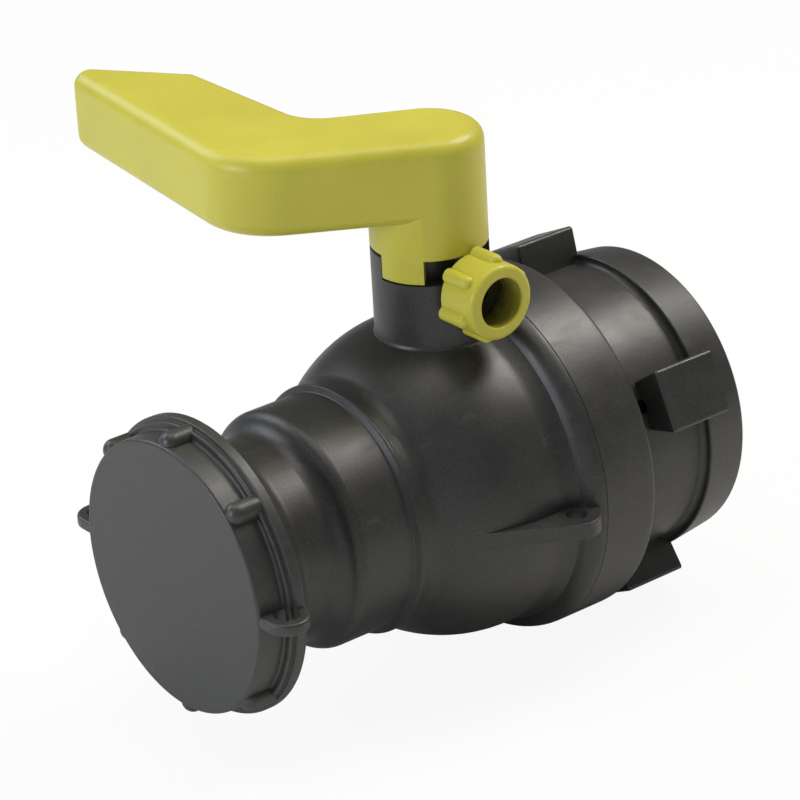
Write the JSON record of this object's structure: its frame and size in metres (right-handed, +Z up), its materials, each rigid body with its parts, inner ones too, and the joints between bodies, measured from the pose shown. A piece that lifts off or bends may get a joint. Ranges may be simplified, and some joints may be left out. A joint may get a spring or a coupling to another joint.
{
  "type": "ibc tank valve",
  "caption": "Plastic ball valve for an IBC tank: lugged union nut, spherical body, cranked yellow lever, hollow lock screw and screwed dust cap.",
  "frame": {"origin": "centre of the tank socket on the flow axis, in the plane of the union nut's tank end", "axes": "+Y along the flow axis from the outlet to the tank, +Z up along the stem to the lever, +X to the lock screw"},
  "size_m": [0.1398, 0.1448, 0.1327],
  "materials": {
    "body_plastic": "moulded charcoal polypropylene, fine satin grain",
    "nut_plastic": "moulded black polypropylene, satin",
    "cap_plastic": "moulded charcoal polypropylene, satin",
    "yellow_plastic": "moulded yellow polypropylene, satin",
    "seat_plastic": "turned fluoropolymer, waxy",
    "acetal": "natural acetal",
    "rubber": "moulded black rubber"
  },
  "bodies": {
    "valve": {"valve_body": "body_plastic", "shoulder_ring": "nut_plastic", "shoulder_seal": "rubber", "outlet_seat": "seat_plastic", "inlet_seat": "seat_plastic", "outlet_seat_ring": "rubber", "inlet_seat_ring": "rubber", "stem_bush": "acetal", "nut_retainer": "acetal", "inlet_gasket": "rubber"},
    "spindle": {"handle": "yellow_plastic", "stem": "nut_plastic", "ball": "body_plastic", "stem_seal_lower": "rubber", "stem_seal_upper": "rubber"},
    "nut": {"union_nut": "nut_plastic"},
    "cap_seal": {"cap_gasket": "rubber"},
    "cap": {"dust_cap": "cap_plastic"},
    "lock_ring": {"lock_seal": "rubber"},
    "lock": {"lock_screw": "yellow_plastic"}
  },
  "joints": [
    {"name": "handle_turn", "type": "hinge", "parent": "valve", "child": "spindle", "pos_m": [0, -0.065, 0.05], "axis": [0, 0, 1], "range_deg": [0, 90]},
    {"name": "nut_turn", "type": "hinge", "parent": "valve", "child": "nut", "pos_m": [0, -0.02, 0], "axis": [0, 1, 0], "continuous": true},
    {"name": "cap_travel", "type": "slide", "parent": "valve", "child": "cap_seal", "axis": [0, -1, 0], "range_m": [0, 0.0061]},
    {"name": "cap_turn", "type": "hinge", "parent": "cap_seal", "child": "cap", "pos_m": [0, -0.14, 0], "axis": [0, -1, 0], "range_deg": [0, 360]},
    {"name": "lock_travel", "type": "slide", "parent": "valve", "child": "lock_ring", "axis": [1, 0, 0], "range_m": [0, 0.0031]},
    {"name": "lock_turn", "type": "hinge", "parent": "lock_ring", "child": "lock", "pos_m": [0.02, -0.065, 0.051], "axis": [1, 0, 0], "range_deg": [0, 720]}
  ],
  "couplings": [
    {"joint": "cap_travel", "follows": "cap_turn", "m_per_rad": 0.00095493},
    {"joint": "lock_travel", "follows": "lock_turn", "m_per_rad": 0.00023873}
  ]
}
